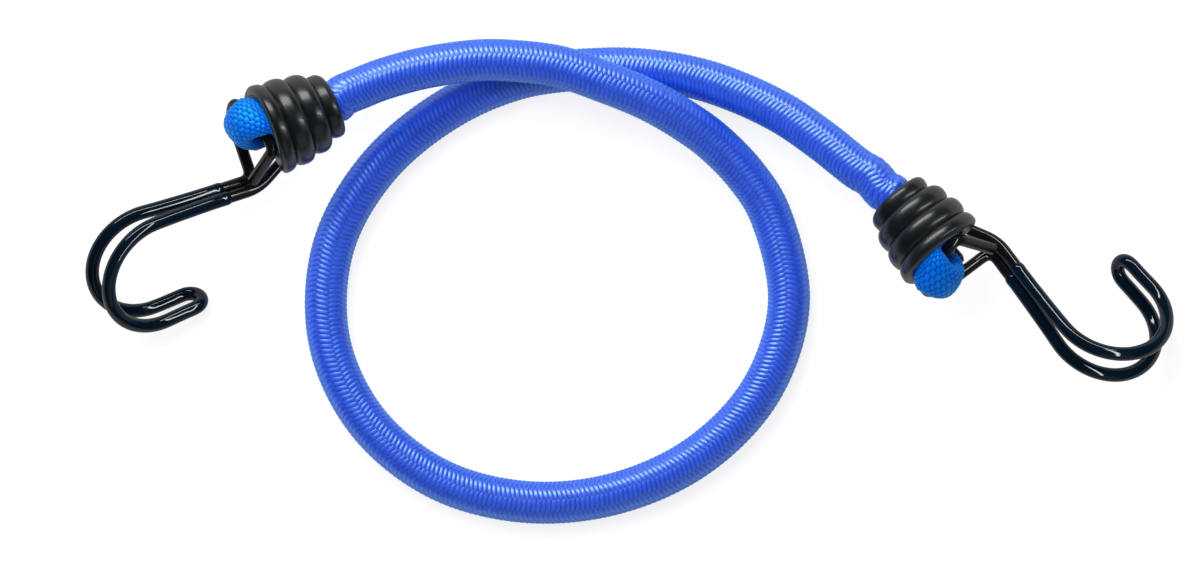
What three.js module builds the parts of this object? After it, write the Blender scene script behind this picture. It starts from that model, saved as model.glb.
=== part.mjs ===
// A bungee cord laid down in a loop: a braided elastic cord, and at each end a bent wire hook that a
// steel coil holds on the folded cord. Millimetres, +Z up, standing on z = 0.

import * as THREE from 'three';

// Cord: a braided sheath round a bundle of rubber strands
const cordDiameter = 8.5;
const sheathWall = 1;
const coreFit = 0.1;
const seatGap = 0.3;
const cordLead = 3;
const cordShift = -1.2;
const cordYaw = THREE.MathUtils.degToRad(2);
const cordSections = 56;
const cordSectionSides = 10;

// Coil: round steel wire wound over the folded cord, wide at its mouth and narrow at its rear. Its turns
// lie nearly square to its axis on the side that shows, and step back on the far side.
const coilWireDiameter = 3;
const coilPitch = 4.1;
const coilTurns = 3.8;
const coilMouthDiameter = 15.6;
const coilRearDiameter = 8.9;
const coilTaperShare = 2.7;
const coilFlatShare = 0.7;
const coilFrom = THREE.MathUtils.degToRad(90);
const coilReach = 2.85;
const coilStepsPerTurn = 22;
const coilWireSides = 6;

// Hook: one wire bent double, with a bail at the cord and a rounded tip. One end of the wire makes the bail
// and lies cut over the neck; the other end runs on a little under the coil.
const hookWireDiameter = 2.4;
const coatWall = 0.16;
const coatFit = 0.04;
const twinGap = 0.1;
const bailWidth = 13.3;
const bailDepth = 14.4;
const bailShoulder = 5.2;
const neckOffset = 4.9;
const crossbarSkew = THREE.MathUtils.degToRad(11.9);
const bailBend = 2.4;
const neckBend = 2.6;
const cutEnd = new THREE.Vector3(1.28, 5.7, -11.7);
const shortEnd = new THREE.Vector3(-5.3, 4.25, -11.1);
const shankLength = 23.7;
const neckTwist = THREE.MathUtils.degToRad(13.7);
const shankTwist = THREE.MathUtils.degToRad(11.3);
const dipLine = 6.5;
const bowlRadius = 11.7;
const bowlTurn = THREE.MathUtils.degToRad(186.5);
const bowlSpread = 7.45;
const prongLength = 5.8;
const tipSpread = 5.5;
const hookSections = 128;
const runSteps = 34;
const bailSteps = 42;
const neckSteps = 12;
const tipSteps = 8;
const hookWireSides = 7;

// Fold: the cord's end, flattened where it turns round the bail's crossbar
const foldWidth = 8.2;
const foldThickness = 4;
const foldShift = -0.1;
const tailLength = 7;
const legOffsetShare = 0.46;
const legThicknessShare = 0.42;
const legWidthShare = 0.74;
const foldSides = 14;
const legSteps = 14;
const rearSteps = 5;
const turnSteps = 12;
const tailSteps = 7;

// How the ends lie
const crossbarReach = 3.3;
const crossbarOffset = -1.7;
const mouthHeight = 19.15;
const mouthLift = THREE.MathUtils.degToRad(11.5);
const bailRoll = THREE.MathUtils.degToRad(27.8);
const hookLift = THREE.MathUtils.degToRad(10.7);
const hookYaw = THREE.MathUtils.degToRad(3.4);
const leftMouth = new THREE.Vector3(-71.2, 31, mouthHeight);
const leftHeading = THREE.MathUtils.degToRad(200);
const rightMouth = new THREE.Vector3(61.1, 7, mouthHeight);
const rightHeading = THREE.MathUtils.degToRad(308.4);

// Where the cord runs between the two coils, from left to right
const cordRoute = [
  [-49.9, 40.3, 14.9],
  [-41.3, 42.7, 14.3],
  [-29.9, 44.3, 13.8],
  [-21.9, 44.1, 13.5],
  [-13.9, 43, 13.3],
  [-5.9, 40.3, 13.1],
  [4.1, 36.2, 11.8],
  [12.3, 31.4, 9.3],
  [17.1, 27.8, 7.5],
  [23.3, 21.4, 5.6],
  [28.1, 13.7, 4.4],
  [31.9, -4.2, 4.25],
  [26.5, -21.4, 4.25],
  [14, -34.6, 4.25],
  [-2.7, -42.3, 4.25],
  [-20.9, -44, 4.25],
  [-38.5, -39.3, 4.25],
  [-52.6, -27.8, 4.25],
  [-60.1, -11.7, 4.25],
  [-59.3, 6.9, 4.25],
  [-50.7, 22.5, 4.25],
  [-36.8, 34.3, 4.25],
  [-21.9, 40.8, 4.25],
  [-5.9, 42.7, 4.25],
  [4.1, 42.4, 4.35],
  [14.1, 40.6, 5],
  [22.9, 37.5, 6.8],
  [31.1, 33.4, 9.2],
  [38.7, 28.1, 12],
  [45.9, 22.4, 14.6]
];

const black = new THREE.MeshStandardMaterial({ color: 0x15171a, roughness: 0.3, metalness: 0.7 });
const vinyl = new THREE.MeshStandardMaterial({ color: 0x0b1420, roughness: 0.15, metalness: 0 });
const blue = new THREE.MeshStandardMaterial({ color: 0x1f4fe0, roughness: 0.75, metalness: 0 });
const latex = new THREE.MeshStandardMaterial({ color: 0xd8c9a4, roughness: 0.85, metalness: 0 });

const model = new THREE.Group();

function addMesh(parent, name, geometry, material) {
  const mesh = new THREE.Mesh(geometry, material);
  mesh.name = name;
  parent.add(mesh);
  return mesh;
}

// A closed skin over rings of points. Looped joins the last ring to the first; otherwise both ends
// are capped.
function skin(rings, looped) {
  const sides = rings[0].length;
  const points = rings.flat();
  const faces = [];
  const bands = looped ? rings.length : rings.length - 1;
  for (let i = 0; i < bands; i++) {
    const here = i * sides;
    const next = ((i + 1) % rings.length) * sides;
    for (let j = 0; j < sides; j++) {
      const k = (j + 1) % sides;
      faces.push(here + j, here + k, next + k);
      faces.push(here + j, next + k, next + j);
    }
  }
  if (!looped) {
    const last = (rings.length - 1) * sides;
    for (let j = 1; j < sides - 1; j++) {
      faces.push(0, j + 1, j);
      faces.push(last, last + j, last + j + 1);
    }
  }
  let volume = 0;
  for (let i = 0; i < faces.length; i += 3) {
    const [a, b, c] = faces.slice(i, i + 3).map((index) => points[index]);
    volume += a.dot(new THREE.Vector3().crossVectors(b, c));
  }
  if (volume < 0) faces.reverse();
  const geometry = new THREE.BufferGeometry().setFromPoints(points);
  geometry.setIndex(faces);
  return geometry;
}

// One ring of points round a station, with half its width along across and half its height along up
function ring(centre, across, up, halfWidth, halfHeight, sides) {
  const points = [];
  const count = Math.round(sides);
  for (let i = 0; i < count; i++) {
    const angle = (i / count) * 2 * Math.PI;
    const point = centre.clone();
    point.addScaledVector(across, halfWidth * Math.cos(angle));
    point.addScaledVector(up, halfHeight * Math.sin(angle));
    points.push(point);
  }
  return points;
}

// Even stations along a curve with frames that don't spin
function stations(curve, sections) {
  const count = Math.round(sections);
  curve.arcLengthDivisions = count * 8;
  const frames = curve.computeFrenetFrames(count, false);
  return curve.getSpacedPoints(count).map((point, i) => ({
    point,
    across: frames.normals[i],
    up: frames.binormals[i]
  }));
}

function tubeRings(places, radius, sides) {
  return places.map((place) => ring(place.point, place.across, place.up, radius, radius, sides));
}

function smooth(share) {
  const t = THREE.MathUtils.clamp(share, 0, 1);
  return t * t * (3 - 2 * t);
}

// Points along a polyline whose corners are rounded by bend
function roundedLine(corners, bend, samples) {
  const path = new THREE.CurvePath();
  let from = corners[0];
  for (let i = 1; i < corners.length - 1; i++) {
    const corner = corners[i];
    const reachIn = Math.min(bend, corner.distanceTo(corners[i - 1]) / 2);
    const reachOut = Math.min(bend, corner.distanceTo(corners[i + 1]) / 2);
    const start = corner.clone().add(corners[i - 1].clone().sub(corner).setLength(reachIn));
    const end = corner.clone().add(corners[i + 1].clone().sub(corner).setLength(reachOut));
    path.add(new THREE.LineCurve3(from, start));
    path.add(new THREE.QuadraticBezierCurve3(start, corner, end));
    from = end;
  }
  path.add(new THREE.LineCurve3(from, corners[corners.length - 1]));
  return path.getSpacedPoints(samples);
}

// The hook's own frame: the crossbar's middle is the origin, x runs along the shank, the crossbar lies
// nearly along y and the bail hangs down from it
const twinSpread = hookWireDiameter + 2 * (coatFit + coatWall) + twinGap;
const neckHeight = -bailDepth;
const neckRun = neckBend * 2;
const bowlArc = bowlRadius * bowlTurn;
const wholeTwist = neckTwist + shankTwist;
const curlSide = new THREE.Vector3(0, Math.sin(wholeTwist), -Math.cos(wholeTwist));
const crossbarWay = new THREE.Vector3(-Math.sin(crossbarSkew), Math.cos(crossbarSkew), 0);

// The point midway between the two wires, the way from one wire to the other and how far apart they
// are, from the neck to the start of the tip
function hookMiddle(along) {
  const neck = new THREE.Vector3(0, neckOffset, neckHeight);
  const shank = new THREE.Vector3(1, 0, 0);
  const twist = neckTwist + shankTwist * smooth((along - neckRun) / (shankLength - neckRun));
  const across = new THREE.Vector3(0, Math.cos(twist), Math.sin(twist));
  const halfBowl = shankLength + bowlArc / 2;
  const total = shankLength + bowlArc + prongLength;
  let spread = twinSpread + (bowlSpread - twinSpread) * smooth((along - dipLine) / (halfBowl - dipLine));
  if (along > halfBowl) {
    spread = bowlSpread + (tipSpread - bowlSpread) * smooth((along - halfBowl) / (total - halfBowl));
  }
  const point = neck.clone().addScaledVector(shank, Math.min(along, shankLength));
  if (along > shankLength) {
    const angle = Math.min((along - shankLength) / bowlRadius, bowlTurn);
    point.addScaledVector(shank, bowlRadius * Math.sin(angle));
    point.addScaledVector(curlSide, bowlRadius * (1 - Math.cos(angle)));
  }
  const past = Math.max(along - shankLength - bowlArc, 0);
  point.addScaledVector(shank, past * Math.cos(bowlTurn));
  point.addScaledVector(curlSide, past * Math.sin(bowlTurn));
  return { point, across, spread };
}

// One wire of the pair, side 1 or -1, from the shank's bend to the start of the tip
function wireRun(side) {
  const points = [];
  const total = shankLength + bowlArc + prongLength;
  for (let i = 0; i <= runSteps; i++) {
    const along = neckRun + ((total - neckRun) * i) / runSteps;
    const middle = hookMiddle(along);
    points.push(middle.point.clone().addScaledVector(middle.across, (side * middle.spread) / 2));
  }
  return points;
}

// The wire's way onto the shank: side 1 comes from the short end, side -1 from the cut end and round the bail
function bailRun(side) {
  const corners = [shortEnd];
  if (side < 0) {
    const farCorner = crossbarWay.clone().multiplyScalar(-bailWidth / 2);
    corners[0] = cutEnd;
    corners.push(crossbarWay.clone().multiplyScalar(bailWidth / 2));
    corners.push(farCorner, farCorner.clone().setZ(-bailShoulder));
  }
  const neck = hookMiddle(0);
  neck.point.addScaledVector(neck.across, (side * twinSpread) / 2);
  corners.push(neck.point);
  const shank = hookMiddle(neckRun);
  corners.push(shank.point.clone().addScaledVector(shank.across, (side * twinSpread) / 2));
  return roundedLine(corners, side < 0 ? bailBend : neckBend, side < 0 ? bailSteps : neckSteps);
}

function tipRun() {
  const end = hookMiddle(shankLength + bowlArc + prongLength);
  const ahead = new THREE.Vector3(Math.cos(bowlTurn), 0, 0).addScaledVector(curlSide, Math.sin(bowlTurn));
  const points = [];
  for (let i = 1; i < tipSteps; i++) {
    const angle = (i / tipSteps) * Math.PI;
    const point = end.point.clone();
    point.addScaledVector(end.across, (end.spread / 2) * Math.cos(angle));
    point.addScaledVector(ahead, (end.spread / 2) * Math.sin(angle));
    points.push(point);
  }
  return points;
}

const nearRun = bailRun(1).slice(0, -1).concat(wireRun(1));
const farRun = bailRun(-1).slice(0, -1).concat(wireRun(-1));
const hookLine = new THREE.CatmullRomCurve3(nearRun.concat(tipRun(), farRun.reverse()), false, 'centripetal');
const hookPlaces = stations(hookLine, hookSections);
const coatPlaces = hookPlaces.filter((place) => place.point.x > dipLine);

function hookWire() {
  return skin(tubeRings(hookPlaces, hookWireDiameter / 2, hookWireSides), false);
}

// The dipped skin of the hook: a thin sleeve over the wire, open at the dip line
function hookCoat() {
  const bore = hookWireDiameter / 2 + coatFit;
  const outside = tubeRings(coatPlaces, bore + coatWall, hookWireSides);
  const inside = tubeRings(coatPlaces, bore, hookWireSides).reverse();
  return skin(outside.concat(inside), true);
}

// The coil's own frame: the mouth's middle is the origin and x points out of the mouth
const wound = 2 * Math.PI * coilTurns;
const stepBack = coilPitch / (2 * Math.PI);

function coilRadius(share) {
  const taper = Math.pow(THREE.MathUtils.clamp(share, 0, 1), coilTaperShare);
  return THREE.MathUtils.lerp(coilMouthDiameter, coilRearDiameter, taper) / 2;
}

// Both ends of the wire run on straight for one wire diameter
class CoilLine extends THREE.Curve {
  getPoint(t, target = new THREE.Vector3()) {
    const mouthLead = (2 * coilWireDiameter) / coilMouthDiameter;
    const rearLead = (2 * coilWireDiameter) / coilRearDiameter;
    const angle = THREE.MathUtils.lerp(-mouthLead, wound + rearLead, t);
    const held = THREE.MathUtils.clamp(angle, 0, wound);
    const past = angle - held;
    const turned = coilFrom + held;
    const even = held - coilFlatShare * (Math.cos(turned) - Math.cos(coilFrom));
    const depth = stepBack * (even + past * (1 + coilFlatShare * Math.sin(turned)));
    const radius = coilRadius(held / wound);
    const y = radius * (Math.cos(turned) - past * Math.sin(turned));
    const z = -radius * (Math.sin(turned) + past * Math.cos(turned));
    return target.set(coilReach - depth, y, z);
  }
}

const coilSections = coilTurns * coilStepsPerTurn;
const coilPlaces = stations(new CoilLine(), coilSections);

function coil() {
  return skin(tubeRings(coilPlaces, coilWireDiameter / 2, coilWireSides), false);
}

// The coil's least gap to itself, measured between points of turns that lie next to each other
function leastCoilGap() {
  let least = Infinity;
  for (let i = 0; i < coilPlaces.length; i++) {
    for (let j = i + Math.round(coilStepsPerTurn / 2); j < coilPlaces.length; j++) {
      least = Math.min(least, coilPlaces[i].point.distanceTo(coilPlaces[j].point));
    }
  }
  return least - coilWireDiameter;
}

// The cord's end: from the coil's rear, through the coil, round the crossbar and back inside as a tail
const coilRear = coilReach - coilPitch * coilTurns;
const grip = coilWireDiameter / 2 + seatGap;
const cordEnd = coilRear - grip - coilWireDiameter / 2;
const turnHalf = foldThickness / 2;
const turnRadius = hookWireDiameter / 2 + seatGap + turnHalf;

function boreAt(x) {
  return coilRadius((coilReach - x + stepBack * coilFlatShare) / (coilReach - coilRear)) - grip;
}

// Offset from the coil's axis, half thickness and half width of a leg of the fold at x
function legSize(x) {
  if (x < coilRear) {
    const past = Math.min(coilRear - x, grip);
    const bulge = coilRearDiameter / 2 - Math.sqrt(grip * grip - past * past);
    const radius = Math.min(cordDiameter / 2, bulge);
    return [0, radius, radius];
  }
  const bore = boreAt(x);
  const inCoil = [bore * legOffsetShare, bore * legThicknessShare, bore * legWidthShare];
  if (x > 0) {
    const share = smooth(x / crossbarReach);
    const atTurn = [turnRadius, turnHalf, foldWidth / 2];
    return inCoil.map((value, i) => THREE.MathUtils.lerp(value, atTurn[i], share));
  }
  const share = smooth((x - coilRear) / (-tailLength - coilRear));
  const single = Math.min(cordDiameter / 2, bore);
  return [0, single, single].map((value, i) => THREE.MathUtils.lerp(value, inCoil[i], share));
}

const hookTurn = new THREE.Euler(bailRoll, -hookLift, hookYaw, 'ZXY');

function fold() {
  const crossbar = crossbarWay.clone().applyEuler(hookTurn);
  const forward = new THREE.Vector3(1, 0, 0).projectOnPlane(crossbar).normalize();
  const legSide = new THREE.Vector3().crossVectors(forward, crossbar);
  const turnCentre = new THREE.Vector3(crossbarReach, crossbarOffset, 0).addScaledVector(crossbar, foldShift);
  const legAcross = crossbar.clone().setX(0).normalize();
  const rings = [];
  const addLegRing = (x, side) => {
    const [offset, thick, wide] = legSize(x);
    const share = smooth(x / crossbarReach);
    const across = legAcross.clone().lerp(crossbar, share).normalize();
    const away = legSide.clone().projectOnPlane(across).normalize().multiplyScalar(side);
    const centre = turnCentre.clone().multiplyScalar(share).setX(x).addScaledVector(away, offset);
    centre.y += cordShift * smooth((coilRear - x) / (coilRear - cordEnd));
    rings.push(ring(centre, across, away, wide, thick, foldSides));
  };
  addLegRing(cordEnd, 1);
  for (let i = 0; i < rearSteps; i++) {
    addLegRing(coilRear - grip * Math.cos((i / rearSteps) * (Math.PI / 2)), 1);
  }
  for (let i = 0; i < legSteps; i++) {
    addLegRing(THREE.MathUtils.lerp(coilRear, crossbarReach, i / legSteps), 1);
  }
  for (let i = 0; i <= turnSteps; i++) {
    const angle = (i / turnSteps) * Math.PI;
    const away = legSide.clone().multiplyScalar(Math.cos(angle)).addScaledVector(forward, Math.sin(angle));
    const centre = turnCentre.clone().addScaledVector(away, turnRadius);
    rings.push(ring(centre, crossbar, away, foldWidth / 2, turnHalf, foldSides));
  }
  for (let i = 1; i <= tailSteps; i++) {
    addLegRing(THREE.MathUtils.lerp(crossbarReach, -tailLength, i / tailSteps), -1);
  }
  return skin(rings, false);
}

// One end of the cord: the coil's axis points along heading and its mouth is lifted
function addEnd(side, mouth, heading) {
  const end = new THREE.Group();
  end.position.copy(mouth);
  end.rotation.set(0, -mouthLift, heading, 'ZYX');
  addMesh(end, `${side}_coil`, coil(), black);
  addMesh(end, `${side}_cord_fold`, fold(), blue);
  const hook = new THREE.Group();
  hook.position.set(crossbarReach, crossbarOffset, 0);
  hook.rotation.copy(hookTurn);
  addMesh(hook, `${side}_hook_wire`, hookWire(), black);
  addMesh(hook, `${side}_hook_coat`, hookCoat(), vinyl);
  end.add(hook);
  model.add(end);
  end.updateMatrixWorld(true);
  return end;
}

const leftEnd = addEnd('left', leftMouth, leftHeading);
const rightEnd = addEnd('right', rightMouth, rightHeading);

// The free cord leaves each coil a little off its axis
const leaving = [0, cordLead].map((run) => {
  const past = run * Math.cos(cordYaw);
  return new THREE.Vector3(cordEnd - seatGap - past, cordShift - run * Math.sin(cordYaw), 0);
});
const leftStart = leaving.map((point) => leftEnd.localToWorld(point.clone()));
const rightStart = leaving.map((point) => rightEnd.localToWorld(point.clone()));
const routePoints = cordRoute.map((point) => new THREE.Vector3(...point));
const cordLine = new THREE.CatmullRomCurve3(leftStart.concat(routePoints, rightStart.reverse()));
cordLine.arcLengthDivisions = cordSections * 10;

function polygon(outline, radius) {
  const count = Math.round(cordSectionSides);
  for (let i = 0; i < count; i++) {
    const angle = (i / count) * 2 * Math.PI;
    const corner = [radius * Math.cos(angle), radius * Math.sin(angle)];
    if (i === 0) outline.moveTo(...corner);
    else outline.lineTo(...corner);
  }
  return outline;
}

function alongCord(section) {
  return new THREE.ExtrudeGeometry(section, { steps: Math.round(cordSections), extrudePath: cordLine });
}

const sheathSection = polygon(new THREE.Shape(), cordDiameter / 2);
sheathSection.holes.push(polygon(new THREE.Path(), cordDiameter / 2 - sheathWall));
addMesh(model, 'cord_sheath', alongCord(sheathSection), blue);
const coreSection = polygon(new THREE.Shape(), cordDiameter / 2 - sheathWall - coreFit);
addMesh(model, 'cord_core', alongCord(coreSection), latex);

console.log(`least gap of a coil to itself: ${leastCoilGap().toFixed(2)} mm`);

export default model;
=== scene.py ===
# A bungee cord laid down in a loop: braid, coils, hooks and their dipped skin. Lengths are in millimetres
# up to the finished meshes, which are in metres, as are the camera, the lamps and the floor.

import math

import bpy
import numpy as np
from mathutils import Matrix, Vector


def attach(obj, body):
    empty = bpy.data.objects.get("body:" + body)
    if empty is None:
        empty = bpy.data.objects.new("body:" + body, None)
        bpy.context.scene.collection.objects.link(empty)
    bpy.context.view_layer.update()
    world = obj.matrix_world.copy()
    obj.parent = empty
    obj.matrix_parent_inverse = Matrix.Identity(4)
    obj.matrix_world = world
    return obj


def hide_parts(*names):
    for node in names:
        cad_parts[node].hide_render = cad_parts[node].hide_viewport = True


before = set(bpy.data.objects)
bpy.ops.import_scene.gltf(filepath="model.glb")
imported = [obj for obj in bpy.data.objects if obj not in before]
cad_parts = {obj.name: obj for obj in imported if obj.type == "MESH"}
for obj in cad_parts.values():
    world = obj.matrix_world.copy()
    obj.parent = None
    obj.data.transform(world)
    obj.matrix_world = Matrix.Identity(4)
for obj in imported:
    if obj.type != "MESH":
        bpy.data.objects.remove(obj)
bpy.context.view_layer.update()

MM = 0.001

# Sizes and places that the part's source has too, in millimetres and degrees
CORD = 8.5
SEAT_GAP = 0.3
CORD_LEAD, CORD_SHIFT, CORD_YAW = 3.0, -1.2, math.radians(2)
COIL_WIRE, COIL_PITCH, COIL_TURNS = 3.0, 4.1, 3.8
COIL_MOUTH, COIL_REAR, COIL_TAPER, COIL_FLAT = 15.6, 8.9, 2.7, 0.7
COIL_FROM, COIL_REACH = math.radians(90), 2.85
WIRE, COAT_OUT = 2.4, 1.4
TWIN_SPREAD = WIRE + 0.5
BAIL_WIDTH, BAIL_DEPTH, BAIL_SHOULDER = 13.3, 14.4, 5.2
NECK_OFFSET, BAIL_BEND, NECK_BEND = 4.9, 2.4, 2.6
CROSSBAR_SKEW = math.radians(11.9)
CUT_END, SHORT_END = (1.28, 5.7, -11.7), (-5.3, 4.25, -11.1)
SHANK, NECK_TWIST, TWIST, DIP_LINE = 23.7, math.radians(13.7), math.radians(11.3), 6.5
BOWL_RADIUS, BOWL_TURN, BOWL_SPREAD = 11.7, math.radians(186.5), 7.45
PRONG, TIP_SPREAD = 5.8, 5.5
FOLD_THICKNESS = 4.0
TAIL = 7.0
CROSSBAR_REACH, CROSSBAR_OFFSET = 3.3, -1.7
MOUTH_HEIGHT, MOUTH_LIFT = 19.15, math.radians(11.5)
BAIL_ROLL, HOOK_LIFT, HOOK_YAW = math.radians(27.8), math.radians(10.7), math.radians(3.4)
ENDS = {
    "left": ((-71.2, 31.0, MOUTH_HEIGHT), math.radians(200)),
    "right": ((61.1, 7.0, MOUTH_HEIGHT), math.radians(308.4)),
}
COIL_BACK = COIL_REACH - COIL_PITCH * COIL_TURNS
GRIP = COIL_WIRE / 2 + SEAT_GAP
CORD_END = COIL_BACK - GRIP - COIL_WIRE / 2

# The cord's route between the coils, in metres, from left to right
ROUTE = [
    (-0.0499, 0.0403, 0.0149),
    (-0.0413, 0.0427, 0.0143),
    (-0.0299, 0.0443, 0.0138),
    (-0.0219, 0.0441, 0.0135),
    (-0.0139, 0.043, 0.0133),
    (-0.0059, 0.0403, 0.0131),
    (0.0041, 0.0362, 0.0118),
    (0.0123, 0.0314, 0.0093),
    (0.0171, 0.0278, 0.0075),
    (0.0233, 0.0214, 0.0056),
    (0.0281, 0.0137, 0.0044),
    (0.0319, -0.0042, 0.00425),
    (0.0265, -0.0214, 0.00425),
    (0.014, -0.0346, 0.00425),
    (-0.0027, -0.0423, 0.00425),
    (-0.0209, -0.044, 0.00425),
    (-0.0385, -0.0393, 0.00425),
    (-0.0526, -0.0278, 0.00425),
    (-0.0601, -0.0117, 0.00425),
    (-0.0593, 0.0069, 0.00425),
    (-0.0507, 0.0225, 0.00425),
    (-0.0368, 0.0343, 0.00425),
    (-0.0219, 0.0408, 0.00425),
    (-0.0059, 0.0427, 0.00425),
    (0.0041, 0.0424, 0.00435),
    (0.0141, 0.0406, 0.005),
    (0.0229, 0.0375, 0.0068),
    (0.0311, 0.0334, 0.0092),
    (0.0387, 0.0281, 0.012),
    (0.0459, 0.0224, 0.0146),
]

# The braids: length of a rib along the cord, columns round it, slant in pitches, height of the ribs
RIB_PITCH, COLUMNS, RIB_SLANT, RIB_DEPTH = 0.97, 10, 0.62, 0.26
FOLD_PITCH, FOLD_COLUMNS, FOLD_SLANT, FOLD_DEPTH = 0.9, 26, 0.12, 0.24
RIB_STEPS, FOLD_STEPS = 4, 8
COLUMN_SIDES = 6
# A braid's columns start half a column off, so that one lies in the middle of the side that shows
HALF_COLUMN = 0.5
# How round a rib is across, and how it sinks towards both its ends. Mesh and material share these.
RIB_ROUND = 0.96
RIB_LOW, RIB_RISE, RIB_EASE = 0.72, 0.28, 0.6


def vec(*values):
    return np.array(values, float)


def unit(v):
    return v / np.linalg.norm(v)


def turn(axis, angle):
    """Rotation matrix about one of the three axes."""
    c, s = math.cos(angle), math.sin(angle)
    i, j = [(1, 2), (2, 0), (0, 1)][axis]
    m = np.eye(3)
    m[i, i], m[j, j], m[i, j], m[j, i] = c, c, -s, s
    return m


def smooth(x):
    """Rises from 0 to 1 while x does, level at both ends."""
    x = np.clip(x, 0, 1)
    return x * x * (3 - 2 * x)


def spline(points, dense=24):
    """A dense centripetal Catmull-Rom line through the points."""
    p = np.asarray(points, float)
    p = np.vstack([2 * p[0] - p[1], p, 2 * p[-1] - p[-2]])
    t = np.linspace(0, 1, dense, endpoint=False)[:, None]
    out = []
    for i in range(1, len(p) - 2):
        a, b, c, d = p[i - 1 : i + 3]
        k0, k1, k2 = (math.sqrt(np.linalg.norm(q - r)) for q, r in ((b, a), (c, b), (d, c)))
        t1 = ((b - a) / k0 - (c - a) / (k0 + k1) + (c - b) / k1) * k1
        t2 = ((c - b) / k1 - (d - b) / (k1 + k2) + (d - c) / k2) * k1
        out.append(b + t1 * t + (3 * (c - b) - 2 * t1 - t2) * t**2 + (2 * (b - c) + t1 + t2) * t**3)
    out.append(p[-2][None])
    return np.vstack(out)


def arc(line):
    """The length along a line up to each of its points."""
    return np.concatenate([[0], np.cumsum(np.linalg.norm(np.diff(line, axis=0), axis=1))])


def even(line, count):
    """The same line as count + 1 points at even distances."""
    s = arc(line)
    at = np.linspace(0, s[-1], count + 1)
    return np.stack([np.interp(at, s, line[:, k]) for k in range(3)], 1)


def frames(line, first):
    """Two cross directions at each point of a line that don't spin about it; first is where they start."""
    way = np.gradient(line, axis=0)
    way /= np.linalg.norm(way, axis=1)[:, None]
    across = np.empty_like(way)
    a = np.asarray(first, float)
    for i, w in enumerate(way):
        a = unit(a - w * a.dot(w))
        across[i] = a
    return across, np.cross(way, across)


def mesh_object(name, verts, faces, uv=None, smooth_faces=True):
    """A new mesh object; uv is one pair for each corner of each face."""
    data = bpy.data.meshes.new(name)
    data.from_pydata(np.asarray(verts).tolist(), [], faces)
    if uv is not None:
        layer = data.uv_layers.new(name="pattern")
        layer.data.foreach_set("uv", np.asarray(uv, np.float32).ravel())
    data.polygons.foreach_set("use_smooth", [smooth_faces] * len(data.polygons))
    data.update()
    obj = bpy.data.objects.new(name, data)
    bpy.context.scene.collection.objects.link(obj)
    return obj


def tube_grid(rings, u, columns):
    """Vertices, faces and pattern corners of a capped tube through rings; u is each ring's place."""
    count, sides = rings.shape[:2]
    verts = rings.reshape(-1, 3)
    i, j = np.meshgrid(np.arange(count - 1), np.arange(sides), indexing="ij")
    k = (j + 1) % sides
    corners_of_face = [i * sides + j, i * sides + k, (i + 1) * sides + k, (i + 1) * sides + j]
    quads = np.stack(corners_of_face, -1).reshape(-1, 4)
    v0, v1 = j / sides * columns + HALF_COLUMN, (j + 1) / sides * columns + HALF_COLUMN
    u0, u1 = u[i], u[i + 1]
    uv = np.stack([u0, v0, u0, v1, u1, v1, u1, v0], -1).reshape(-1, 4, 2)
    faces = quads.tolist()
    faces.append(list(range(sides))[::-1])
    faces.append(list(range((count - 1) * sides, count * sides)))
    around = np.arange(sides) / sides * columns + HALF_COLUMN
    first = np.stack([np.full(sides, u[0]), around[::-1]], 1)
    last = np.stack([np.full(sides, u[-1]), around], 1)
    return verts, faces, np.vstack([uv.reshape(-1, 2), first, last])


def rib(u, v, slant):
    """Height from 0 to 1 of a braid whose ribs lie in columns that slant left and right by turns."""
    column = np.floor(v)
    f = v - column
    odd = column % 2
    t = u + (1 - 2 * odd) * slant * (f - 0.5) + 0.5 * odd
    w = 2 * (t - np.floor(t)) - 1
    ends = np.sin(np.pi * np.clip(f, 0, 1)) ** RIB_EASE
    return np.sqrt(np.clip(1 - RIB_ROUND * w * w, 0, 1)) * (RIB_LOW + RIB_RISE * ends)


def signed_power(values, power):
    return np.sign(values) * np.abs(values) ** power


def braided(name, line, across, up, half_width, half_height, pitch, columns, slant, depth, corner=1.0):
    """A braided tube along a line, with ribs as high as depth. A corner under 1 makes it squarer."""
    s = arc(line)
    sides = columns * COLUMN_SIDES
    angle = np.arange(sides) / sides * 2 * math.pi
    c, d = np.cos(angle)[None, :, None], np.sin(angle)[None, :, None]
    a, b = half_width[:, None, None], half_height[:, None, None]
    across, up = across[:, None], up[:, None]
    skin = line[:, None] + across * a * signed_power(c, corner) + up * b * signed_power(d, corner)
    normal = across * b * signed_power(c, 2 - corner) + up * a * signed_power(d, 2 - corner)
    normal /= np.linalg.norm(normal, axis=2)[..., None]
    u = s / pitch
    v = np.arange(sides) / sides * columns + HALF_COLUMN
    height = rib(u[:, None] + 0 * v[None], v[None] + 0 * u[:, None], slant)
    skin = skin + normal * ((height - 1) * depth)[..., None]
    verts, faces, corners = tube_grid(skin * MM, u, columns)
    return mesh_object(name, verts, faces, corners)


# Every tube of round wire starts its cross directions from this one
TUBE_START = (0.3, 0.5, 0.8)


def round_tube(name, line, radii, sides, material):
    a, b = frames(line, TUBE_START)
    angle = np.arange(sides) / sides * 2 * math.pi
    c, d = np.cos(angle)[None, :, None], np.sin(angle)[None, :, None]
    rings = line[:, None] + (a[:, None] * c + b[:, None] * d) * np.asarray(radii)[:, None, None]
    verts, faces, corners = tube_grid(rings * MM, arc(line), 1)
    obj = mesh_object(name, verts, faces, corners)
    obj.data.materials.append(material)
    return obj


def end_frame(side):
    """Origin and rotation of one end of the cord: its x axis comes out of the coil's mouth."""
    mouth, heading = ENDS[side]
    return np.array(mouth), turn(2, heading) @ turn(1, -MOUTH_LIFT)


def place(points, origin, rotation):
    return points @ rotation.T + origin


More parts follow.
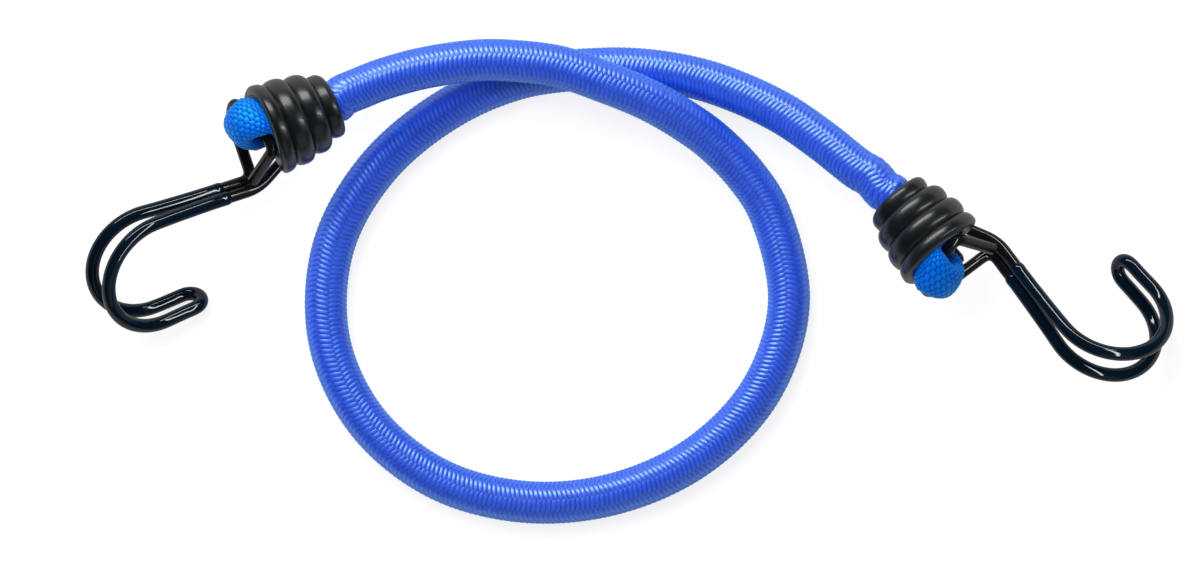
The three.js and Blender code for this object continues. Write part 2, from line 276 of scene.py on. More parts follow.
# Camera: straight down on the laid cord, from far away. The picture's width is measured at the cord's height.
CAMERA_HEIGHT = 5.0
CAMERA_PLACE = (-0.0059, -0.0023, CAMERA_HEIGHT)
FRAME_WIDTH, FRAME_LEVEL = 0.240, 0.008
CLIP_START, CLIP_END = 0.5, 20

camera = bpy.data.objects.new("camera", bpy.data.cameras.new("camera"))
bpy.context.scene.collection.objects.link(camera)
bpy.context.scene.camera = camera
camera.data.lens = camera.data.sensor_width * (CAMERA_HEIGHT - FRAME_LEVEL) / FRAME_WIDTH
camera.data.clip_start, camera.data.clip_end = CLIP_START, CLIP_END
camera.location = CAMERA_PLACE
camera.rotation_euler = (0, 0, 0)


# Materials
BLACK, WHITE = (0, 0, 0), (1, 1, 1)


def new_material(name):
    m = bpy.data.materials.new(name)
    m.use_nodes = True
    return m, m.node_tree, m.node_tree.nodes["Principled BSDF"]


class Nodes:
    """Short hand for the nodes of one material."""

    def __init__(self, tree):
        self.tree = tree

    def add(self, kind, **settings):
        node = self.tree.nodes.new(kind)
        for key, value in settings.items():
            setattr(node, key, value)
        return node

    def link(self, out, into):
        self.tree.links.new(out, into)

    def math(self, operation, *values, clamp=False):
        node = self.add("ShaderNodeMath", operation=operation, use_clamp=clamp)
        for socket, value in zip(node.inputs, values):
            if isinstance(value, (int, float)):
                socket.default_value = value
            else:
                self.link(value, socket)
        return node.outputs[0]

    def ramp(self, factor, *stops):
        node = self.add("ShaderNodeValToRGB")
        elements = node.color_ramp.elements
        while len(elements) < len(stops):
            elements.new(0.5)
        for element, (position, colour) in zip(elements, stops):
            element.position = position
            element.color = (*colour, 1)
        self.link(factor, node.inputs[0])
        return node.outputs[0]

    def noise(self, vector, scale, detail, roughness=0.5):
        node = self.add("ShaderNodeTexNoise")
        node.inputs["Scale"].default_value = scale
        node.inputs["Detail"].default_value = detail
        node.inputs["Roughness"].default_value = roughness
        if vector is not None:
            self.link(vector, node.inputs["Vector"])
        return node.outputs["Fac"]

    def mix(self, factor, a, b):
        node = self.add("ShaderNodeMix", data_type="RGBA", blend_type="MIX")
        for socket, value in zip((node.inputs[0], node.inputs[6], node.inputs[7]), (factor, a, b)):
            if isinstance(value, tuple):
                socket.default_value = (*value, 1)
            else:
                self.link(value, socket)
        return node.outputs[2]

    def bump(self, height, distance, strength):
        node = self.add("ShaderNodeBump")
        node.inputs["Distance"].default_value = distance
        node.inputs["Strength"].default_value = strength
        self.link(height, node.inputs["Height"])
        return node.outputs[0]


# Cloth. Fibres are noise drawn out along each rib, and each rib starts at another place of that noise.
FIBRE_ACROSS, FIBRE_ALONG = 5.0, 1.2
ROW_STEP, COLUMN_STEP = 3.7, 11.3
FIBRE_SCALE, FIBRE_DETAIL, FIBRE_ROUGHNESS = 1.6, 3.0, 0.6
SLOW_SCALE, SLOW_DETAIL = 60.0, 2.0
# What changes the shade: the rib's own height, its fibres, chance, and a slow change along the cord
# The height term is painted shading: darker valleys between ribs as painted shade, lighter crowns as painted
# light
HEIGHT_PAINTED_SHADING, FIBRE_SHADE, CHANCE_SHADE, SLOW_SHADE, SHADE_MIDDLE = 0.74, 0.22, 0.10, 0.16, 0.12
VALLEY_STOP, BODY_STOP, CROWN_STOP = 0.38, 0.66, 1.0
CLOTH_ROUGH, FIBRE_ROUGH, VALLEY_ROUGH = 0.35, 0.25, 0.15
FIBRE_RELIEF, RIB_RELIEF, RELIEF_DISTANCE, RELIEF_STRENGTH = 0.12, 0.5, 0.00018, 0.9
CLOTH_SHEEN, SHEEN_ROUGH, SHEEN_TINT = 0.6, 0.35, (0.06, 0.58, 1.0, 1)


# The valley and crown colours are painted shade in the dips between ribs and painted light on the rib tops
def braid_material(name, slant, painted_valley_shade, body, painted_crown_light, glint, gloss):
    """Woven filament yarn: each rib has its own roundness, fibres along it and a small change of shade."""
    m, tree, shader = new_material(name)
    n = Nodes(tree)
    uv = n.add("ShaderNodeUVMap", uv_map="pattern")
    split = n.add("ShaderNodeSeparateXYZ")
    n.link(uv.outputs[0], split.inputs[0])
    u, v = split.outputs[0], split.outputs[1]
    # The same ribs as the mesh has: see rib()
    column = n.math("FLOOR", v)
    f = n.math("SUBTRACT", v, column)
    odd = n.math("MODULO", column, 2.0)
    sign = n.math("SUBTRACT", 1.0, n.math("MULTIPLY", odd, 2.0))
    lean = n.math("MULTIPLY", n.math("MULTIPLY", sign, slant), n.math("SUBTRACT", f, 0.5))
    t = n.math("ADD", n.math("ADD", u, lean), n.math("MULTIPLY", odd, 0.5))
    row = n.math("FLOOR", t)
    w = n.math("SUBTRACT", n.math("MULTIPLY", n.math("SUBTRACT", t, row), 2.0), 1.0)
    flatter = n.math("MULTIPLY", n.math("MULTIPLY", w, w), RIB_ROUND)
    roundness = n.math("SQRT", n.math("SUBTRACT", 1.0, flatter))
    ends = n.math("POWER", n.math("SINE", n.math("MULTIPLY", f, math.pi)), RIB_EASE)
    ends = n.math("ADD", RIB_LOW, n.math("MULTIPLY", ends, RIB_RISE))
    height = n.math("MULTIPLY", roundness, ends)
    # Fibres
    rib_place = n.math("ADD", n.math("MULTIPLY", row, ROW_STEP), n.math("MULTIPLY", column, COLUMN_STEP))
    fibre_place = n.add("ShaderNodeCombineXYZ")
    n.link(n.math("MULTIPLY", w, FIBRE_ACROSS), fibre_place.inputs[0])
    n.link(n.math("MULTIPLY", f, FIBRE_ALONG), fibre_place.inputs[1])
    n.link(rib_place, fibre_place.inputs[2])
    fibre = n.noise(fibre_place.outputs[0], FIBRE_SCALE, FIBRE_DETAIL, FIBRE_ROUGHNESS)
    # Shade of each rib, and slow change along the cord
    cell = n.add("ShaderNodeCombineXYZ")
    n.link(row, cell.inputs[0])
    n.link(column, cell.inputs[1])
    chance = n.add("ShaderNodeTexWhiteNoise", noise_dimensions="3D")
    n.link(cell.outputs[0], chance.inputs["Vector"])
    slow = n.math("MULTIPLY", n.noise(None, SLOW_SCALE, SLOW_DETAIL), SLOW_SHADE)
    shade = n.math("ADD", n.math("MULTIPLY", chance.outputs["Value"], CHANCE_SHADE), slow)
    fibre_shade = n.math("MULTIPLY", fibre, FIBRE_SHADE)
    # The rib's height darkens the valleys as painted shade and lightens the crowns as painted light
    level = n.math("ADD", n.math("MULTIPLY", height, HEIGHT_PAINTED_SHADING), fibre_shade)
    level = n.math("ADD", level, n.math("SUBTRACT", shade, SHADE_MIDDLE), clamp=True)
    colour = n.ramp(level, (VALLEY_STOP, painted_valley_shade), (BODY_STOP, body), (CROWN_STOP, painted_crown_light))
    n.link(colour, shader.inputs["Base Color"])
    # Gloss and relief
    uneven = n.math("MULTIPLY", n.math("SUBTRACT", fibre, 0.5), FIBRE_ROUGH)
    in_valley = n.math("MULTIPLY", n.math("SUBTRACT", 1.0, height), VALLEY_ROUGH)
    rough = n.math("ADD", n.math("ADD", CLOTH_ROUGH, uneven), in_valley)
    n.link(rough, shader.inputs["Roughness"])
    relief = n.math("ADD", n.math("MULTIPLY", fibre, FIBRE_RELIEF), n.math("MULTIPLY", height, RIB_RELIEF))
    n.link(n.bump(relief, RELIEF_DISTANCE, RELIEF_STRENGTH), shader.inputs["Normal"])
    shader.inputs["Specular IOR Level"].default_value = 1.0
    shader.inputs["Specular Tint"].default_value = (*glint, 1)
    shader.inputs["IOR"].default_value = gloss
    shader.inputs["Sheen Weight"].default_value = CLOTH_SHEEN
    shader.inputs["Sheen Roughness"].default_value = SHEEN_ROUGH
    shader.inputs["Sheen Tint"].default_value = SHEEN_TINT
    return m


# Blacks: scale, detail and roughness of three noises, what part of each shows, and how
CLOUD, DUST, PEEL = (160.0, 3.0, 0.55), (1500.0, 4.0, 0.6), (420.0, 2.0, 0.5)
CLOUD_FROM, CLOUD_TO = 0.35, 0.75
DUST_FROM, DUST_TO, DUST_MOST = 0.60, 0.80, (0.35, 0.35, 0.35)
DUST_GAIN, DUST_LIFT = 2.4, 0.01
CLOUD_ROUGH, DUST_ROUGH = 0.18, 0.10
PEEL_RELIEF, DUST_RELIEF, GRAIN_STRENGTH = 0.7, 0.3, 0.5
COAT_ROUGH = 0.05


def black_material(name, base, warm, roughness, shine, coat, grain):
    """Black lacquer or dipped vinyl: faint orange peel, dust and an uneven sheen."""
    m, tree, shader = new_material(name)
    n = Nodes(tree)
    position = n.add("ShaderNodeTexCoord").outputs["Object"]
    cloud, dust, peel = (n.noise(position, *noise) for noise in (CLOUD, DUST, PEEL))
    dusty = tuple(c * DUST_GAIN + DUST_LIFT for c in base)
    colour = n.mix(n.ramp(cloud, (CLOUD_FROM, BLACK), (CLOUD_TO, WHITE)), base, warm)
    colour = n.mix(n.ramp(dust, (DUST_FROM, BLACK), (DUST_TO, DUST_MOST)), colour, dusty)
    n.link(colour, shader.inputs["Base Color"])
    clouded = n.math("MULTIPLY", n.math("SUBTRACT", cloud, 0.5), CLOUD_ROUGH)
    dusted = n.math("MULTIPLY", n.math("SUBTRACT", dust, 0.5), DUST_ROUGH)
    rough = n.math("ADD", n.math("ADD", roughness, clouded), dusted)
    n.link(rough, shader.inputs["Roughness"])
    height = n.math("ADD", n.math("MULTIPLY", peel, PEEL_RELIEF), n.math("MULTIPLY", dust, DUST_RELIEF))
    n.link(n.bump(height, grain, GRAIN_STRENGTH), shader.inputs["Normal"])
    shader.inputs["Specular IOR Level"].default_value = shine
    shader.inputs["Coat Weight"].default_value = coat
    shader.inputs["Coat Roughness"].default_value = COAT_ROUGH
    return m


# Each braid's valley colour is painted shade between the ribs; its crown colour is painted light on their
# tops
cord_braid = braid_material(
    "cord_braid",
    slant=RIB_SLANT,
    painted_valley_shade=(0.001, 0.018, 0.30),
    body=(0.004, 0.052, 0.82),
    painted_crown_light=(0.008, 0.11, 0.95),
    glint=(0.50, 0.80, 1.0),
    gloss=2.15,
)
# The fold is the same cord in a more azure blue: partly its yarns spread over the bend, partly painted light
# for its lit look
fold_braid = braid_material(
    "fold_braid",
    slant=FOLD_SLANT,
    painted_valley_shade=(0.0005, 0.025, 0.26),
    body=(0.001, 0.09, 0.66),
    painted_crown_light=(0.002, 0.17, 0.88),
    glint=(0.02, 0.70, 1.0),
    gloss=1.8,
)
coil_black = black_material(
    "coil_black",
    base=(0.0015, 0.004, 0.005),
    warm=(0.0035, 0.007, 0.0085),
    roughness=0.34,
    shine=0.7,
    coat=0.2,
    grain=0.00004,
)
wire_black = black_material(
    "wire_black",
    base=(0.002, 0.003, 0.004),
    warm=(0.006, 0.004, 0.003),
    roughness=0.14,
    shine=0.3,
    coat=0.15,
    grain=0.000003,
)
vinyl_black = black_material(
    "vinyl_black",
    base=(0.0006, 0.004, 0.008),
    warm=(0.001, 0.005, 0.012),
    roughness=0.07,
    shine=0.3,
    coat=0.15,
    grain=0.000001,
)


# The coil's line: its turns lie square to the axis on the side that shows and step back on the far side
STEP_BACK = COIL_PITCH / (2 * math.pi)
WOUND = 2 * math.pi * COIL_TURNS
# Angles at which the wire's two straight ends begin and stop
WIRE_BEGINS, WIRE_STOPS = -2 * COIL_WIRE / COIL_MOUTH, WOUND + 2 * COIL_WIRE / COIL_REAR


def coil_radius(share):
    return (COIL_MOUTH + (COIL_REAR - COIL_MOUTH) * np.clip(share, 0, 1) ** COIL_TAPER) / 2


def coil_line(steps):
    angle = np.linspace(WIRE_BEGINS, WIRE_STOPS, steps + 1)
    held = np.clip(angle, 0, WOUND)
    past = angle - held
    turned = COIL_FROM + held
    flatness = COIL_FLAT * (np.cos(turned) - math.cos(COIL_FROM))
    depth = held - flatness + past * (1 + COIL_FLAT * np.sin(turned))
    radius = coil_radius(held / WOUND)
    y = radius * (np.cos(turned) - past * np.sin(turned))
    z = -radius * (np.sin(turned) + past * np.cos(turned))
    return np.stack([COIL_REACH - STEP_BACK * depth, y, z], 1)


def bore_at(x, grip):
    """The coil's radius at x less what lies between the wire's middle and what it grips."""
    return coil_radius((COIL_REACH - x + STEP_BACK * COIL_FLAT) / (COIL_REACH - COIL_BACK)) - grip


# The free cord, from inside one coil to inside the other. The last turn of each coil squeezes it.
CORD_IN, INSIDE_POINTS = 3.0, 7
FULL_RADIUS = CORD / 2 + 0.02
NECK_GRIP = 1.6
FLARE_FROM, FLARE, FLARE_EASE = -11.6, 1.6, 0.7
# A point of the cord is in a coil when it lies this near its axis and this little past the cord's end
COIL_NEAR, COIL_PAST = 6, 1


def squeezed(x):
    """Half the cord's thickness at x of the end's frame."""
    past = np.clip(FLARE_FROM - x, 0, FLARE) / FLARE
    neck = bore_at(FLARE_FROM, NECK_GRIP)
    flare = neck + (FULL_RADIUS - neck) * (1 - np.sqrt(1 - past**2)) ** FLARE_EASE
    return np.where(x > FLARE_FROM, np.minimum(bore_at(x, NECK_GRIP), CORD / 2), flare)


def cord_line():
    ends = []
    for side in ENDS:
        origin, rotation = end_frame(side)
        inside = np.linspace(COIL_BACK + CORD_IN, CORD_END, INSIDE_POINTS)
        shift = CORD_SHIFT * smooth((COIL_BACK - inside) / (COIL_BACK - CORD_END))
        run = vec(SEAT_GAP, SEAT_GAP + CORD_LEAD)
        x = np.concatenate([inside, CORD_END - run * math.cos(CORD_YAW)])
        y = np.concatenate([shift, CORD_SHIFT - run * math.sin(CORD_YAW)])
        ends.append(place(np.stack([x, y, 0 * x], 1), origin, rotation))
    return spline(np.vstack([ends[0], np.array(ROUTE) / MM, ends[1][::-1]]))


def cord_radius(line):
    """The cord is round and even but for its two ends, which the coils squeeze."""
    radius = np.full(len(line), FULL_RADIUS)
    for side in ENDS:
        origin, rotation = end_frame(side)
        local = (line - origin) @ rotation
        x, off_axis = local[:, 0], np.linalg.norm(local[:, 1:], axis=1)
        near = (off_axis < COIL_NEAR) & (x > CORD_END - COIL_PAST) & (x < 0)
        radius[near] = squeezed(x[near])
    return radius


def free_cord():
    raw = cord_line()
    length = arc(raw)[-1]
    line = even(raw, round(length / RIB_PITCH) * RIB_STEPS)
    across, up = frames(line, (0, 0, 1))
    radius = cord_radius(line)
    cord = braided(
        "cord_braid", line, across, up, radius, radius, RIB_PITCH, COLUMNS, RIB_SLANT, RIB_DEPTH
    )
    cord.data.materials.append(cord_braid)
    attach(cord, "cord")
    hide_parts("cord_sheath", "cord_core")
    return cord


# The folded end of the cord, round the crossbar
CROSSBAR_WAY = vec(-math.sin(CROSSBAR_SKEW), math.cos(CROSSBAR_SKEW), 0)
HOOK_TURN = turn(2, HOOK_YAW) @ turn(0, BAIL_ROLL) @ turn(1, -HOOK_LIFT)
TURN_RADIUS = WIRE / 2 + SEAT_GAP + FOLD_THICKNESS / 2
DOME_WIDTH, DOME_NARROWER, DOME_THICKER = 8.6, 0.5, 0.15
DOME_SHIFTS = {"left": -0.8, "right": -1.6}
# The upper side of the fold lies broader, over the crossbar's near corner, up to OVER_TURN round the crossbar
OVER_SHIFT, OVER_WIDE = 0.8, 0.5
OVER_FROM, OVER_RUN, OVER_TURN = -3, 4, 1.3
# Offset, half thickness and half width of a leg in the coil, as shares of the coil's bore
LEG_OFFSET, LEG_THICK, LEG_WIDE = 0.46, 0.44, 0.78
# How far the coil sinks into the braid, and how much thinner a leg is where it runs into another or the cord
COIL_SINK, INSIDE_SLACK, BEHIND_SLACK = 0.15, 0.3, 0.45
FOLD_CORNER = 0.88
UPPER_POINTS, TURN_POINTS, LOWER_POINTS = 30, 25, 14


def leg_size(x):
    """Offset from the coil's axis, half thickness and half width of a leg of the fold."""
    if x < COIL_BACK:
        single = float(squeezed(x)) - BEHIND_SLACK
        return vec(0, single, single)
    bore = float(bore_at(x, GRIP - COIL_SINK))
    in_coil = vec(bore * LEG_OFFSET, bore * LEG_THICK, bore * LEG_WIDE)
    if x > 0:
        at_turn = vec(TURN_RADIUS, FOLD_THICKNESS / 2, DOME_WIDTH / 2)
        return in_coil + (at_turn - in_coil) * smooth(x / CROSSBAR_REACH)
    share = smooth((x - COIL_BACK) / (-TAIL - COIL_BACK))
    single = min(CORD / 2, bore) - INSIDE_SLACK
    return vec(0, single, single) + (in_coil - vec(0, single, single)) * share


def fold_stations(side):
    """Middle, two cross directions, half width and half thickness along the fold, in the end's frame."""
    crossbar = HOOK_TURN @ CROSSBAR_WAY
    forward = unit(vec(1, 0, 0) - crossbar * crossbar[0])
    leg_side = np.cross(forward, crossbar)
    centre = vec(CROSSBAR_REACH, CROSSBAR_OFFSET, 0) + crossbar * DOME_SHIFTS[side]
    leg_across = unit(crossbar * vec(0, 1, 1))
    points, acrosses, ups, wide, thick = [], [], [], [], []

    def leg(x, way_up):
        offset, t, w = leg_size(x)
        spread = smooth((x - OVER_FROM) / OVER_RUN) if way_up > 0 else 0
        share = smooth(x / CROSSBAR_REACH)
        wide_way = unit(leg_across + (crossbar - leg_across) * share)
        away = unit(leg_side - wide_way * leg_side.dot(wide_way)) * way_up
        middle = centre * share
        middle[0] = x
        middle[1] += CORD_SHIFT * smooth((COIL_BACK - x) / (COIL_BACK - CORD_END))
        points.append(middle + away * offset + wide_way * OVER_SHIFT * spread)
        acrosses.append(wide_way)
        ups.append(away)
        wide.append(w + OVER_WIDE * spread)
        thick.append(t)

    for x in np.linspace(CORD_END, CROSSBAR_REACH, UPPER_POINTS)[:-1]:
        leg(x, 1)
    for a in np.linspace(0, math.pi, TURN_POINTS):
        away = leg_side * math.cos(a) + forward * math.sin(a)
        spread = 1 - smooth(a / OVER_TURN)
        points.append(centre + away * TURN_RADIUS + crossbar * OVER_SHIFT * spread)
        acrosses.append(crossbar)
        ups.append(away)
        wide.append(DOME_WIDTH / 2 - DOME_NARROWER * math.sin(a) ** 2 + OVER_WIDE * spread)
        thick.append(FOLD_THICKNESS / 2 + DOME_THICKER * math.sin(a) ** 2)
    for x in np.linspace(CROSSBAR_REACH, -TAIL, LOWER_POINTS)[1:]:
        leg(x, -1)
    return np.array(points), acrosses, ups, wide, thick


def fold(side):
    origin, rotation = end_frame(side)
    points, acrosses, ups, wide, thick = fold_stations(side)
    s = arc(points)
    at = np.linspace(0, s[-1], int(s[-1] / FOLD_PITCH * FOLD_STEPS))

    def along(values):
        values = np.asarray(values, float)
        if values.ndim == 1:
            return np.interp(at, s, values)
        return np.stack([np.interp(at, s, values[:, k]) for k in range(3)], 1)

    middle, a, b = along(points), along(acrosses), along(ups)
    a /= np.linalg.norm(a, axis=1)[:, None]
    b /= np.linalg.norm(b, axis=1)[:, None]
    obj = braided(
        f"{side}_fold_braid",
        place(middle, origin, rotation),
        a @ rotation.T,
        b @ rotation.T,
        along(wide),
        along(thick),
        FOLD_PITCH,
        FOLD_COLUMNS,
        FOLD_SLANT,
        FOLD_DEPTH,
        FOLD_CORNER,
    )
    obj.data.materials.append(fold_braid)
    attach(obj, "cord")
    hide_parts(f"{side}_cord_fold")
    return obj


# The coil's wire, pressed a little flat where turn lies on turn, with a cut end at the mouth and the rear
COIL_STEPS, COIL_SIDES = 640, 32
TURN_WIDE, TURN_HIGH, TURN_EDGE = 2.28, 1.66, 1.6
MOUTH_EDGE = 1.1
WIDE_POWER, HIGH_POWER = 0.9, 0.94
# In turns from either end: where the section starts to reach its neighbour, and over how much
MEET_FROM, MEET_RUN = 0.95, 0.2
COIL_NUDGE = 0.3
CUT_ROUNDING, CUT_POWER, CUT_LEAST = 1.0, 4, 0.02


def cut_ends(line):
    """The section's share of its full size along a line, which rounds off the wire's two cut ends."""
    s = arc(line)
    edge = np.minimum(s, s[-1] - s)
    x = np.clip(1 - edge / CUT_ROUNDING, 0, 1)
    return np.sqrt(np.clip(1 - x**CUT_POWER, CUT_LEAST, 1))


def coil(side):
    origin, rotation = end_frame(side)
    line = coil_line(COIL_STEPS)
    way = np.gradient(line, axis=0)
    way /= np.linalg.norm(way, axis=1)[:, None]
    out = line * vec(0, 1, 1)
    out -= way * np.sum(out * way, axis=1)[:, None]
    out /= np.linalg.norm(out, axis=1)[:, None]
    axial = np.cross(way, out)
    size = cut_ends(line)[:, None]
    angle = np.arange(COIL_SIDES) / COIL_SIDES * 2 * math.pi
    c, d = np.cos(angle), np.sin(angle)
    # Towards a neighbouring turn the section is wide enough to meet it; at the mouth and the rear it isn't
    held = np.linspace(WIRE_BEGINS, WIRE_STOPS, len(line)) / (2 * math.pi)
    ahead = MOUTH_EDGE + (TURN_WIDE - MOUTH_EDGE) * smooth((held - MEET_FROM) / MEET_RUN)
    behind = TURN_EDGE + (TURN_WIDE - TURN_EDGE) * smooth((COIL_TURNS - MEET_FROM - held) / MEET_RUN)
    front = np.sign(axial[:, :1])
    reach = np.where(c[None] * front > 0, ahead[:, None], behind[:, None])
    wide = signed_power(c, WIDE_POWER) * reach
    high = signed_power(d, HIGH_POWER) * TURN_HIGH
    sideways, outward = axial[:, None] * (size * wide)[..., None], out[:, None] * (size * high)[..., None]
    rings = line[:, None] + sideways + outward
    rings = place(rings + vec(0, COIL_NUDGE, 0), origin, rotation)
    verts, faces, corners = tube_grid(rings * MM, arc(line), 1)
    obj = mesh_object(f"{side}_coil_wire", verts, faces, corners)
    obj.data.materials.append(coil_black)
    # The coils throw no shadow, so the cord and the fold beside them are evenly lit
    obj.visible_shadow = False
    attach(obj, "cord")
    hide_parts(f"{side}_coil")
    return obj


# The hook: the same line as the part's source, finer
WHOLE_TWIST = NECK_TWIST + TWIST
CURL = vec(0, math.sin(WHOLE_TWIST), -math.cos(WHOLE_TWIST))
NECK_RUN = NECK_BEND * 2
BOWL_ARC = BOWL_RADIUS * BOWL_TURN
TOTAL = SHANK + BOWL_ARC + PRONG
BAIL_POINTS, NECK_POINTS, BEND_POINTS = 42, 12, 13
RUN_POINTS, TIP_STEPS = 35, 8
HOOK_DENSE, HOOK_POINTS = 16, 900
WIRE_SIDES, COAT_SIDES = 20, 24
# The skin's open ends: it thins towards the wire, after a bead
LIP_THIN, LIP_THIN_RUN = 0.18, 0.35
LIP_BEAD, LIP_BEAD_AT, LIP_BEAD_RUN = 0.05, 0.9, 0.5


def hook_middle(along):
    """Middle of the two strands at a length along them, the way from one to the other, their spread."""
    twist = NECK_TWIST + TWIST * smooth((along - NECK_RUN) / (SHANK - NECK_RUN))
    wide = vec(0, math.cos(twist), math.sin(twist))
    half = SHANK + BOWL_ARC / 2
    spread = TWIN_SPREAD + (BOWL_SPREAD - TWIN_SPREAD) * smooth((along - DIP_LINE) / (half - DIP_LINE))
    if along > half:
        spread = BOWL_SPREAD + (TIP_SPREAD - BOWL_SPREAD) * smooth((along - half) / (TOTAL - half))
    point = vec(min(along, SHANK), NECK_OFFSET, -BAIL_DEPTH)
    if along > SHANK:
        angle = min((along - SHANK) / BOWL_RADIUS, BOWL_TURN)
        point = point + vec(BOWL_RADIUS * math.sin(angle), 0, 0) + CURL * BOWL_RADIUS * (1 - math.cos(angle))
    past = max(along - SHANK - BOWL_ARC, 0)
    point = point + vec(past * math.cos(BOWL_TURN), 0, 0) + CURL * past * math.sin(BOWL_TURN)
    return point, wide, spread


def rounded_line(corners, bend, samples):
    out = [corners[0]]
    for i in range(1, len(corners) - 1):
        corner = corners[i]
        back, ahead = corners[i - 1] - corner, corners[i + 1] - corner
        start = corner + unit(back) * min(bend, np.linalg.norm(back) / 2)
        finish = corner + unit(ahead) * min(bend, np.linalg.norm(ahead) / 2)
        for t in np.linspace(0, 1, BEND_POINTS):
            out.append((1 - t) ** 2 * start + 2 * t * (1 - t) * corner + t * t * finish)
    out.append(corners[-1])
    return even(np.array(out), samples)


def bail_run(side):
    """Side 1 comes from the wire's short end, side -1 from its cut end and round the bail."""
    corners, bend, samples = [vec(*SHORT_END)], NECK_BEND, NECK_POINTS
    if side < 0:
        near_corner, far_corner = (CROSSBAR_WAY * way * BAIL_WIDTH / 2 for way in (1, -1))
        corners = [vec(*CUT_END), near_corner, far_corner, far_corner - vec(0, 0, BAIL_SHOULDER)]
        bend, samples = BAIL_BEND, BAIL_POINTS
    for along in (0, NECK_RUN):
        point, wide, _ = hook_middle(along)
        corners.append(point + wide * side * TWIN_SPREAD / 2)
    return rounded_line(corners, bend, samples)


def wire_run(side):
    out = []
    for along in np.linspace(NECK_RUN, TOTAL, RUN_POINTS):
        point, wide, spread = hook_middle(along)
        out.append(point + wide * side * spread / 2)
    return np.array(out)


def tip_run():
    point, wide, spread = hook_middle(TOTAL)
    ahead = vec(math.cos(BOWL_TURN), 0, 0) + CURL * math.sin(BOWL_TURN)
    angles = np.arange(1, TIP_STEPS) / TIP_STEPS * math.pi
    return np.array([point + (wide * math.cos(a) + ahead * math.sin(a)) * spread / 2 for a in angles])


near_strand, far_strand = (np.vstack([bail_run(s)[:-1], wire_run(s)]) for s in (1, -1))
HOOK_LINE = even(spline(np.vstack([near_strand, tip_run(), far_strand[::-1]]), HOOK_DENSE), HOOK_POINTS)


def hook(side):
    origin, rotation = end_frame(side)
    at = place(vec(CROSSBAR_REACH, CROSSBAR_OFFSET, 0), origin, rotation)
    whole = place(HOOK_LINE, at, rotation @ HOOK_TURN)
    dipped = np.flatnonzero(HOOK_LINE[:, 0] > DIP_LINE)
    first, last = dipped[0], dipped[-1]
    bare = np.full(len(whole), WIRE / 2)
    wire = round_tube(f"{side}_hook_bare", whole, bare, WIRE_SIDES, wire_black)
    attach(wire, f"{side}_hook")
    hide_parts(f"{side}_hook_wire")
    skin_line = whole[first : last + 1]
    s = arc(skin_line)
    edge = np.minimum(s, s[-1] - s)
    bead = LIP_BEAD * np.exp(-(((edge - LIP_BEAD_AT) / LIP_BEAD_RUN) ** 2))
    radii = COAT_OUT - LIP_THIN * np.exp(-edge / LIP_THIN_RUN) + bead
    coat = round_tube(f"{side}_hook_dip", skin_line, radii, COAT_SIDES, vinyl_black)
    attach(coat, f"{side}_hook")
    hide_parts(f"{side}_hook_coat")
    return wire, coat


cord = free_cord()
folds = [fold(side) for side in ENDS]
coils = [coil(side) for side in ENDS]
hooks = [piece for side in ENDS for piece in hook(side)]


# Stage: a white table and soft studio light. The camera sees the table near white, a gloss sees it dimmer.
FLOOR_SIZE, FLOOR_DROP, FLOOR_ROUGH = 3.0, 0.00005, 0.9
FLOOR_COLOUR, FLOOR_SEEN = (0.86, 0.86, 0.865), (0.30, 0.30, 0.302)
FLOOR_GLOW, MIRRORED_SHARE = 0.78, 0.25
SKY_LIGHT, SKY_UNMIRRORED = 0.4, 0.385


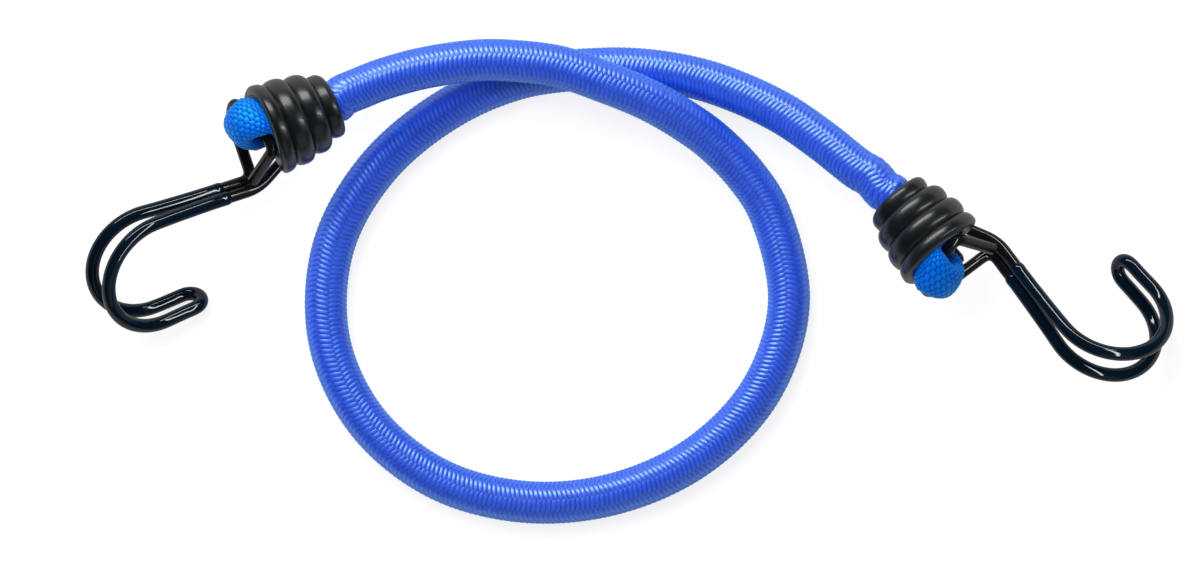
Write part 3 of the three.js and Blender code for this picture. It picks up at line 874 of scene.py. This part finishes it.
def stage():
    corners = [(x * FLOOR_SIZE, y * FLOOR_SIZE, 0) for x, y in ((-1, -1), (1, -1), (1, 1), (-1, 1))]
    floor = mesh_object("floor", corners, [[0, 1, 2, 3]], smooth_faces=False)
    floor.location.z = -FLOOR_DROP
    m, tree, shader = new_material("floor_white")
    n = Nodes(tree)
    shader.inputs["Roughness"].default_value = FLOOR_ROUGH
    shader.inputs["Specular IOR Level"].default_value = 0.0
    light_path = n.add("ShaderNodeLightPath")
    seen = n.math("MAXIMUM", light_path.outputs["Is Camera Ray"], light_path.outputs["Is Transmission Ray"])
    mirrored = light_path.outputs["Is Glossy Ray"]
    colour = n.mix(n.math("MAXIMUM", seen, mirrored), FLOOR_COLOUR, FLOOR_SEEN)
    n.link(colour, shader.inputs["Base Color"])
    glow = n.add("ShaderNodeEmission")
    glow.inputs[0].default_value = (*WHITE, 1)
    share = n.math("MAXIMUM", seen, n.math("MULTIPLY", mirrored, MIRRORED_SHARE))
    n.link(n.math("MULTIPLY", share, FLOOR_GLOW), glow.inputs[1])
    total = n.add("ShaderNodeAddShader")
    n.link(shader.outputs[0], total.inputs[0])
    n.link(glow.outputs[0], total.inputs[1])
    n.link(total.outputs[0], tree.nodes["Material Output"].inputs[0])
    floor.data.materials.append(m)
    return floor


def area(name, location, size, power):
    """A lamp that faces the middle of the object."""
    data = bpy.data.lights.new(name, "AREA")
    data.shape = "RECTANGLE"
    data.size, data.size_y = size
    data.energy = power
    lamp = bpy.data.objects.new(name, data)
    bpy.context.scene.collection.objects.link(lamp)
    lamp.location = location
    lamp.rotation_euler = (Vector() - Vector(location)).to_track_quat("-Z", "Y").to_euler()
    return lamp


def lit_only(lamp, objects):
    """Keeps a lamp's light to some of the objects."""
    group = bpy.data.collections.new(f"{lamp.name} receivers")
    for obj in objects:
        group.objects.link(obj)
    lamp.light_linking.receiver_collection = group


def sky():
    """An even white world, of which a gloss sees next to nothing."""
    world = bpy.data.worlds.new("world")
    bpy.context.scene.world = world
    world.use_nodes = True
    background = world.node_tree.nodes["Background"]
    background.inputs[0].default_value = (*WHITE, 1)
    n = Nodes(world.node_tree)
    mirrored = n.add("ShaderNodeLightPath").outputs["Is Glossy Ray"]
    strength = n.math("SUBTRACT", SKY_LIGHT, n.math("MULTIPLY", mirrored, SKY_UNMIRRORED))
    n.link(strength, background.inputs[1])


floor = stage()
key = area("key", location=(-0.40, 0.95, 0.72), size=(1.2, 0.5), power=12.0)
top = area("top", location=(-0.28, 0.42, 1.15), size=(0.9, 0.5), power=8.5)
top.visible_glossy = False
edge = area("edge", location=(0.95, 0.25, 0.8), size=(0.12, 0.9), power=3.6)
side_strip = area("side strip", location=(0.62, 0.0, 1.0), size=(1.8, 0.11), power=14)
far_strip = area("far strip", location=(-0.1, 0.95, 0.65), size=(1.6, 0.10), power=11)
lit_only(edge, coils)
lit_only(side_strip, hooks)
lit_only(far_strip, hooks)
lit_only(key, folds + coils + [cord, floor])
area("fill", location=(0.4, -0.9, 0.6), size=(1.2, 0.8), power=0.8)
sky()
bpy.context.scene.view_settings.view_transform = "Standard"
